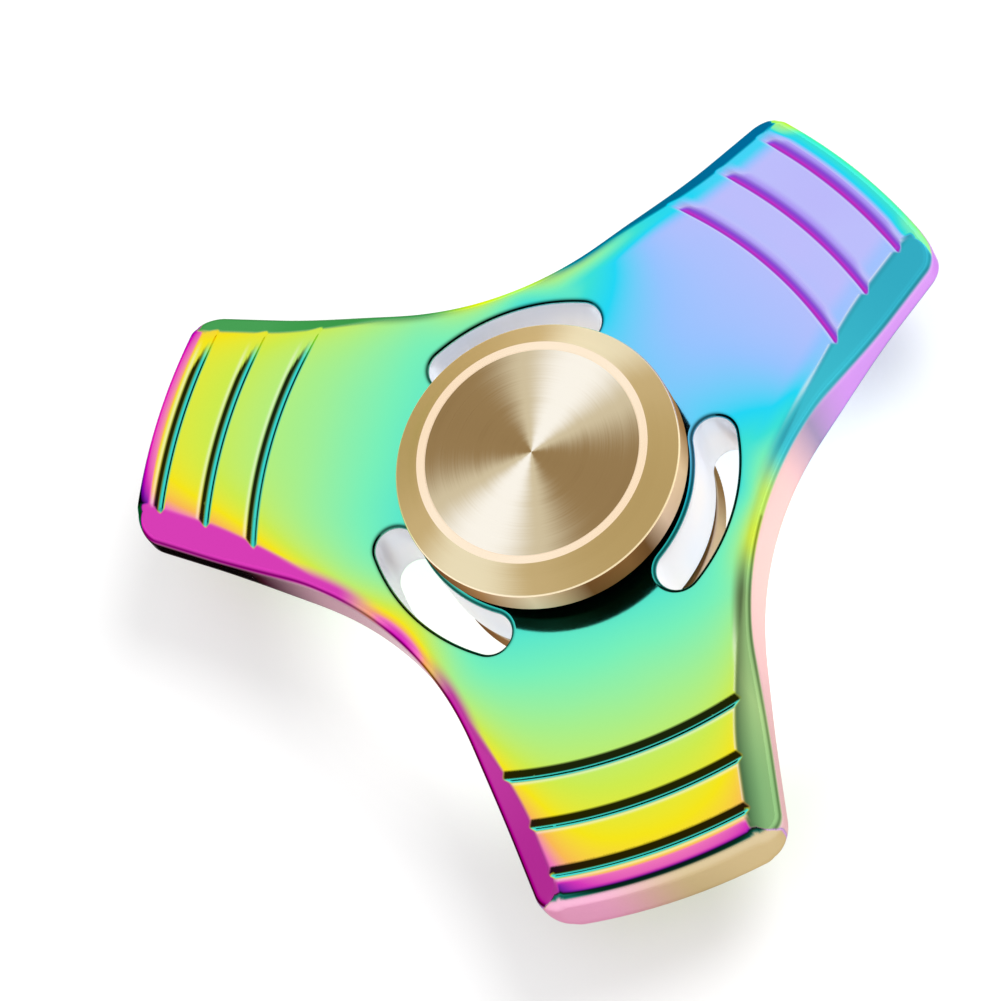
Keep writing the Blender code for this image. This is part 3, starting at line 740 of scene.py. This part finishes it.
def lathe_rings(tree, radius, level, scale):
    """Uneven fine rings, as a 0 to 1 socket."""
    scaled = node(tree, "ShaderNodeCombineXYZ", inputs={
        0: calc(tree, "MULTIPLY", radius, scale), 1: calc(tree, "MULTIPLY", level, scale),
    })
    return node(tree, "ShaderNodeTexNoise", inputs={
        "Vector": scaled.outputs[0], "Scale": 1.0, "Detail": 5.0, "Roughness": 0.65,
    }).outputs["Fac"]


def finish_gold(tree, shader, colour, fine, roughness, strength):
    place = node(tree, "ShaderNodeTexCoord").outputs["Object"]
    patch = node(tree, "ShaderNodeTexNoise", inputs={"Vector": place, "Scale": 350.0, "Detail": 3.0})
    rough = calc(tree, "MULTIPLY_ADD", fine, 0.12, roughness - 0.06)
    rough = calc(tree, "ADD", rough, calc(tree, "MULTIPLY_ADD", patch.outputs["Fac"], 0.04, -0.02))
    link(tree, colour, shader.inputs["Base Color"])
    link(tree, mix(tree, 0.5, (1, 1, 1, 1), colour), shader.inputs["Specular Tint"])
    link(tree, rough, shader.inputs["Roughness"])
    shader.inputs["Metallic"].default_value = 1.0
    bump = node(tree, "ShaderNodeBump", inputs={"Strength": strength, "Distance": 0.00002, "Height": fine})
    link(tree, bump.outputs["Normal"], shader.inputs["Normal"])


def turned_gold(name, stops, spread, roughness, anisotropy, scale, grain, strength):
    """Gold anodised aluminium turned on a lathe, its colour painted by viewing angle. stops run from the metal's
    painted dark side to its painted bow-tie highlight.
    """
    material, tree, shader = start_material(name)
    radius, level, _ = radial_coordinates(tree)
    fine = lathe_rings(tree, radius, level, scale)
    broad = lathe_rings(tree, radius, level, scale / 9)
    grains = calc(tree, "ADD", calc(tree, "MULTIPLY_ADD", fine, grain, -grain / 2),
                  calc(tree, "MULTIPLY_ADD", broad, grain, -grain / 2))
    # Painted highlight: the colour follows the painted bow-tie streak.
    colour = ramp(tree, calc(tree, "ADD", painted_streak(tree, spread), grains), stops, "EASE")
    finish_gold(tree, shader, colour, fine, roughness, strength)
    if anisotropy:
        tangent = node(tree, "ShaderNodeTangent", direction_type="RADIAL", axis="Z")
        shader.inputs["Anisotropic"].default_value = anisotropy
        link(tree, tangent.outputs[0], shader.inputs["Tangent"])
    return material


def wall_gold(name, stops):
    """The caps' upright walls, painted with dark and light bands, painted reflections that stand still as the viewer
    walks round; the wall neither mirrors nor shines itself. Mirrored from below in the body, they are painted dark,
    as the shade of the gap."""
    material, tree, shader = start_material(name)
    radius, level, _ = radial_coordinates(tree)
    fine = lathe_rings(tree, radius, level, 12000.0)
    geometry = node(tree, "ShaderNodeNewGeometry")
    level_view = node(tree, "ShaderNodeVectorMath", operation="MULTIPLY", inputs={
        0: geometry.outputs["Incoming"], 1: (1, 1, 0),
    })
    aside = node(tree, "ShaderNodeVectorMath", operation="CROSS_PRODUCT", inputs={
        0: (0, 0, 1), 1: level_view.outputs[0],
    })
    aside = node(tree, "ShaderNodeVectorMath", operation="NORMALIZE", inputs={0: aside.outputs[0]})
    turn = node(tree, "ShaderNodeVectorMath", operation="DOT_PRODUCT", inputs={
        0: geometry.outputs["Normal"], 1: aside.outputs[0],
    }).outputs["Value"]
    place = calc(tree, "ADD", calc(tree, "MULTIPLY_ADD", turn, 0.5, 0.5), calc(tree, "MULTIPLY_ADD", fine, 0.03, -0.015))
    # Painted shade: seen from below, as in the body's mirror, the wall turns nearly black.
    height_of_view = node(tree, "ShaderNodeSeparateXYZ", inputs={0: geometry.outputs["Incoming"]}).outputs[2]
    painted_gap_shade = node(tree, "ShaderNodeMapRange", inputs={
        "Value": height_of_view, "From Min": -0.15, "From Max": 0.05, "To Min": 0.04,
    }).outputs[0]
    direct = node(tree, "ShaderNodeLightPath").outputs["Is Camera Ray"]
    colour = node(tree, "ShaderNodeVectorMath", operation="SCALE", inputs={
        0: ramp(tree, place, stops), "Scale": calc(tree, "MAXIMUM", painted_gap_shade, direct),
    }).outputs[0]
    finish_gold(tree, shader, colour, fine, 0.34, 0.1)
    shader.inputs["Metallic"].default_value = 0.0
    shader.inputs["Specular IOR Level"].default_value = 0.0
    return material


def bearing_metal(name, colour_a, colour_b, roughness):
    """Ground or drawn bearing metal: fine rings round the axis and faint oil patches."""
    material, tree, shader = start_material(name)
    radius, level, place = radial_coordinates(tree)
    rings = node(tree, "ShaderNodeCombineXYZ", inputs={
        0: calc(tree, "MULTIPLY", radius, 9000.0), 1: calc(tree, "MULTIPLY", level, 9000.0),
    })
    fine = node(tree, "ShaderNodeTexNoise", inputs={"Vector": rings.outputs[0], "Scale": 1.0, "Detail": 3.0})
    oil = node(tree, "ShaderNodeTexNoise", inputs={"Vector": place, "Scale": 600.0, "Detail": 3.0})
    link(tree, mix(tree, oil.outputs["Fac"], colour_a, colour_b), shader.inputs["Base Color"])
    shader.inputs["Metallic"].default_value = 1.0
    rough = calc(tree, "MULTIPLY_ADD", fine.outputs["Fac"], 0.12, roughness - 0.06)
    link(tree, rough, shader.inputs["Roughness"])
    bump = node(tree, "ShaderNodeBump", inputs={
        "Strength": 0.1, "Distance": 0.00002, "Height": fine.outputs["Fac"],
    })
    link(tree, bump.outputs["Normal"], shader.inputs["Normal"])
    return material


# ------------------------------------------------------------------ caps


def arc_points(centre, radius, start, end, count):
    """(radius, height) points of a small rounding, angles in degrees."""
    return [
        (centre[0] + radius * math.cos(math.radians(start + (end - start) * i / count)),
         centre[1] + radius * math.sin(math.radians(start + (end - start) * i / count)))
        for i in range(count + 1)
    ]


def cap_profile():
    """((radius, height), zone) down the outside of a cap, about the mid-plane. The zones number the cap's looks."""
    face = CAP_FACE
    under = TOP + 0.95
    wall_top = face - 1.33
    zones = []

    def add(points, zone):
        zones.extend((point, zone) for point in points)

    recess = 0.05
    add([(r, face - recess) for r in (0.0, 0.5, 1.5, 3.0, 5.0, 7.0, 7.45)], 0)
    add([(7.50, face - recess)], 1)
    add(arc_points((7.58, face - 0.04), 0.04, 170, 90, 3), 1)
    add([(7.85, face), (8.06, face)], 1)
    add(arc_points((8.09, face - 0.05), 0.05, 80, 55, 2), 2)
    add([(8.6, face - 0.42), (9.2, face - 0.82)], 2)
    add(arc_points((9.84, wall_top - 0.06), 0.12, 60, 44, 3), 3)
    add(arc_points((9.88, wall_top - 0.14), 0.12, 35, 0, 3), 4)
    add([(10.0, wall_top - 0.8), (10.0, wall_top - 1.6)], 4)
    add(arc_points((9.75, under + 0.25), 0.25, 0, -90, 5), 4)
    add([(9.4, under), (7.5, under), (5.0, under), (3.95, under)], 5)
    add([(3.95, TOP - 0.2), (3.95, 2.40), (3.2, 2.40)], 5)
    return zones


def revolve(name, profile, steps=256):
    """A turned surface from ((radius, height), zone) pairs. Each face takes the zone of its upper point."""
    verts, faces, zones = [], [], []
    rows = []
    for (radius, z), _ in profile:
        if radius < 1e-9:
            rows.append([len(verts)] * steps)
            verts.append((0, 0, z))
            continue
        rows.append(list(range(len(verts), len(verts) + steps)))
        verts += [(*polar((0, 0), radius, k * 2 * math.pi / steps), z) for k in range(steps)]
    for i in range(len(rows) - 1):
        zone = profile[i][1]
        for k in range(steps):
            quad = (rows[i][k], rows[i + 1][k], rows[i + 1][(k + 1) % steps], rows[i][(k + 1) % steps])
            corners = tuple(dict.fromkeys(quad))
            if len(corners) > 2:
                faces.append(corners)
                zones.append(zone)
    mesh = bpy.data.meshes.new(name)
    mesh.from_pydata(verts, [], faces)
    mesh.polygons.foreach_set("material_index", zones)
    return mesh


def finish_piece(name, mesh, body, replaced, sharp=None):
    """Scales a millimetre mesh about the mid-plane to the frame, and hangs it on its body."""
    mesh.transform(Matrix.Translation((0, 0, MID * MM)) @ Matrix.Scale(MM, 4))
    shape = bmesh.new()
    shape.from_mesh(mesh)
    bmesh.ops.recalc_face_normals(shape, faces=shape.faces)
    shape.to_mesh(mesh)
    shape.free()
    mesh.shade_smooth()
    if sharp:
        mesh.set_sharp_from_angle(angle=math.radians(sharp))
    obj = bpy.data.objects.new(name, mesh)
    bpy.context.scene.collection.objects.link(obj)
    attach(obj, body)
    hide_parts(replaced)
    return obj


def build_caps():
    looks = (
        # The turned caps' colours carry a painted bow-tie highlight; the disc's run from a painted dark brown to a
        # painted cream highlight.
        turned_gold("gold_disc", (
            (0.0, srgb(112, 82, 42)), (0.25, srgb(150, 122, 80)), (0.6, srgb(208, 192, 158)), (1.0, srgb(250, 244, 232)),
        ), 0.17, 0.3, 0.0, 13000.0, 0.14, 0.2),
        turned_gold("gold_ring", (
            (0.0, srgb(252, 222, 186)), (1.0, srgb(255, 236, 210)),
        ), 0.2, 0.2, 0.0, 9000.0, 0.3, 0.05),
        turned_gold("gold_bevel", (
            (0.0, srgb(184, 156, 100)), (0.5, srgb(200, 174, 122)), (1.0, srgb(234, 220, 184)),
        ), 0.13, 0.36, 0.0, 12000.0, 0.15, 0.08),
        turned_gold("gold_rim", (
            (0.0, srgb(246, 220, 168)), (1.0, srgb(255, 240, 208)),
        ), 0.2, 0.2, 0.0, 9000.0, 0.3, 0.05),
        # The walls' stops are painted light and dark bands.
        wall_gold("gold_wall", (
            (0.00, srgb(120, 78, 42)), (0.07, srgb(176, 128, 84)), (0.20, srgb(246, 214, 186)),
            (0.28, srgb(214, 176, 142)), (0.39, srgb(128, 82, 48)), (0.55, srgb(144, 98, 58)),
            (0.64, srgb(116, 78, 44)), (0.75, srgb(216, 184, 158)), (0.89, srgb(212, 182, 144)),
            (0.97, srgb(150, 112, 68)),
        )),
        # Painted shade: the caps' undersides are near black, for the shade in the gap over the body, though they are
        # gold.
        bearing_metal("cap_underside_painted_shade", srgb(14, 11, 7), srgb(24, 18, 11), 0.5),
    )
    profile = cap_profile()
    stud = [((2.0, 2.40), 4), ((2.0, -1.7), 4), ((1.7, -2.0), 4), ((0.0, -2.0), 4)]
    sleeve = [((3.115, 2.40), 4), ((3.115, -2.2), 4), ((2.06, -2.2), 4), ((2.06, 2.3), 4), ((0.0, 2.3), 4)]
    top = revolve("top_cap_surface", profile + stud)
    bottom = revolve("bottom_cap_surface", profile + sleeve)
    bottom.transform(Matrix.Diagonal((1, 1, -1, 1)))
    for mesh, name, node_name in ((top, "top_cap_fine", "top_cap"), (bottom, "bottom_cap_fine", "bottom_cap")):
        for look in looks:
            mesh.materials.append(look)
        finish_piece(name, mesh, "hub", node_name, sharp=40)


def build_body():
    mesh = body_mesh()
    normals = exact_normals(mesh)
    paint_coating(mesh, normals)
    mesh.materials.append(coating_material())
    obj = finish_piece("spinner_body_fine", mesh, "rotor", "spinner_body")
    mesh.normals_split_custom_set_from_vertices(normals.tolist())
    return obj


def dress_bearing():
    looks = {
        "bearing_outer_ring": ("outer_ring_steel", (176, 180, 186), (200, 202, 206), 0.16),
        "bearing_inner_ring": ("inner_ring_steel", (180, 182, 186), (204, 204, 208), 0.15),
        "bearing_shield_top": ("shield_top_steel", (165, 166, 168), (188, 188, 188), 0.3),
        "bearing_shield_bottom": ("shield_bottom_steel", (165, 166, 168), (188, 188, 188), 0.3),
        "snap_ring_top": ("snap_ring_top_steel", (120, 122, 128), (146, 148, 150), 0.25),
        "snap_ring_bottom": ("snap_ring_bottom_steel", (120, 122, 128), (146, 148, 150), 0.25),
        "ball_cage": ("cage_brass_oiled", (196, 158, 84), (214, 178, 104), 0.28),
    }
    ball_steel = bearing_metal("ball_steel", srgb(196, 198, 204), srgb(214, 216, 220), 0.1)
    for name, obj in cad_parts.items():
        if name in looks:
            label, dark, light, rough = looks[name]
            material = bearing_metal(label, srgb(*dark), srgb(*light), rough)
        elif name.startswith("ball_"):
            material = ball_steel
        else:
            continue
        if obj.material_slots:
            for slot in obj.material_slots:
                slot.material = material
        else:
            obj.data.materials.append(material)


# ------------------------------------------------------------------ stage


def build_floor():
    shape = bmesh.new()
    bmesh.ops.create_grid(shape, x_segments=2, y_segments=2, size=4.0)
    mesh = bpy.data.meshes.new("floor")
    shape.to_mesh(mesh)
    shape.free()
    floor = bpy.data.objects.new("floor", mesh)
    bpy.context.scene.collection.objects.link(floor)
    floor.location.z = -0.00002
    material, tree, shader = start_material("white_floor")
    shader.inputs["Base Color"].default_value = (0.55, 0.55, 0.55, 1)
    shader.inputs["Roughness"].default_value = 0.55
    shader.inputs["Emission Color"].default_value = (1, 1, 1, 1)
    # Painted light: the floor glows, brightest within 14 mm of the axis, which lifts the shadow under the spinner and
    # in its slots.
    floor_painted_glow = node(tree, "ShaderNodeMapRange", interpolation_type="SMOOTHSTEP", inputs={
        "Value": radial_coordinates(tree)[0], "From Min": 0.014, "From Max": 0.026, "To Min": 0.82, "To Max": 0.34,
    })
    link(tree, floor_painted_glow.outputs[0], shader.inputs["Emission Strength"])
    mesh.materials.append(material)


def build_camera():
    camera = bpy.data.cameras.new("camera")
    camera.sensor_width = 36.0
    camera.lens = CAMERA_LENS
    camera.clip_start = 0.01
    camera.clip_end = 20
    obj = bpy.data.objects.new("camera", camera)
    bpy.context.scene.collection.objects.link(obj)
    level = math.cos(CAMERA_ELEVATION)
    away = Vector((
        level * math.cos(CAMERA_AZIMUTH), level * math.sin(CAMERA_AZIMUTH), math.sin(CAMERA_ELEVATION),
    ))
    turn = away.to_track_quat("Z", "Y").to_matrix().to_4x4()
    roll_turn = Matrix.Rotation(-CAMERA_ROLL, 4, "Z")
    obj.matrix_world = Matrix.Translation(CAMERA_AIM + away * CAMERA_DISTANCE) @ turn @ roll_turn
    bpy.context.scene.camera = obj


def build_world():
    """A white tent with one slightly darker flag low on the camera's side."""
    world = bpy.data.worlds.new("studio")
    bpy.context.scene.world = world
    world.use_nodes = True
    tree = world.node_tree
    background = tree.nodes["Background"]
    direction = node(tree, "ShaderNodeTexCoord").outputs["Generated"]
    split = node(tree, "ShaderNodeSeparateXYZ", inputs={0: direction})
    facing = node(tree, "ShaderNodeVectorMath", operation="DOT_PRODUCT", inputs={
        0: direction, 1: (math.cos(CAMERA_AZIMUTH), math.sin(CAMERA_AZIMUTH), 0.0),
    }).outputs["Value"]
    z = split.outputs[2]
    low = node(tree, "ShaderNodeMapRange", interpolation_type="SMOOTHSTEP", inputs={
        "Value": z, "From Min": 0.20, "From Max": 0.32,
    }).outputs[0]
    high = node(tree, "ShaderNodeMapRange", interpolation_type="SMOOTHSTEP", inputs={
        "Value": z, "From Min": 0.78, "From Max": 0.62,
    }).outputs[0]
    side = node(tree, "ShaderNodeMapRange", interpolation_type="SMOOTHSTEP", inputs={
        "Value": facing, "From Min": 0.15, "From Max": 0.45,
    }).outputs[0]
    flag = calc(tree, "MULTIPLY", calc(tree, "MULTIPLY", low, high), side)
    level = calc(tree, "MULTIPLY_ADD", flag, -0.08, 1.0)
    link(tree, calc(tree, "MULTIPLY", level, 1.0), background.inputs["Strength"])
    background.inputs["Color"].default_value = (1, 1, 1, 1)


def add_lamp(name, size, energy, azimuth, elevation, distance):
    light = bpy.data.lights.new(name, "AREA")
    light.shape = "DISK"
    light.size = size
    light.energy = energy
    obj = bpy.data.objects.new(name, light)
    bpy.context.scene.collection.objects.link(obj)
    level = math.cos(elevation)
    obj.location = distance * Vector((
        level * math.cos(azimuth), level * math.sin(azimuth), math.sin(elevation),
    ))
    obj.rotation_euler = obj.location.to_track_quat("Z", "Y").to_euler()
    return obj


def build_lights():
    """A soft lamp that throws the floor's shadow. The metal mirrors the tent alone."""
    lamp = add_lamp("key", 0.35, 3.0, math.radians(-30), math.radians(50), 0.65)
    lamp.visible_glossy = False


def main():
    build_body()
    build_caps()
    dress_bearing()
    build_floor()
    build_camera()
    build_world()
    build_lights()
    scene = bpy.context.scene
    scene.view_settings.view_transform = "Standard"
    scene.view_settings.look = "None"


main()
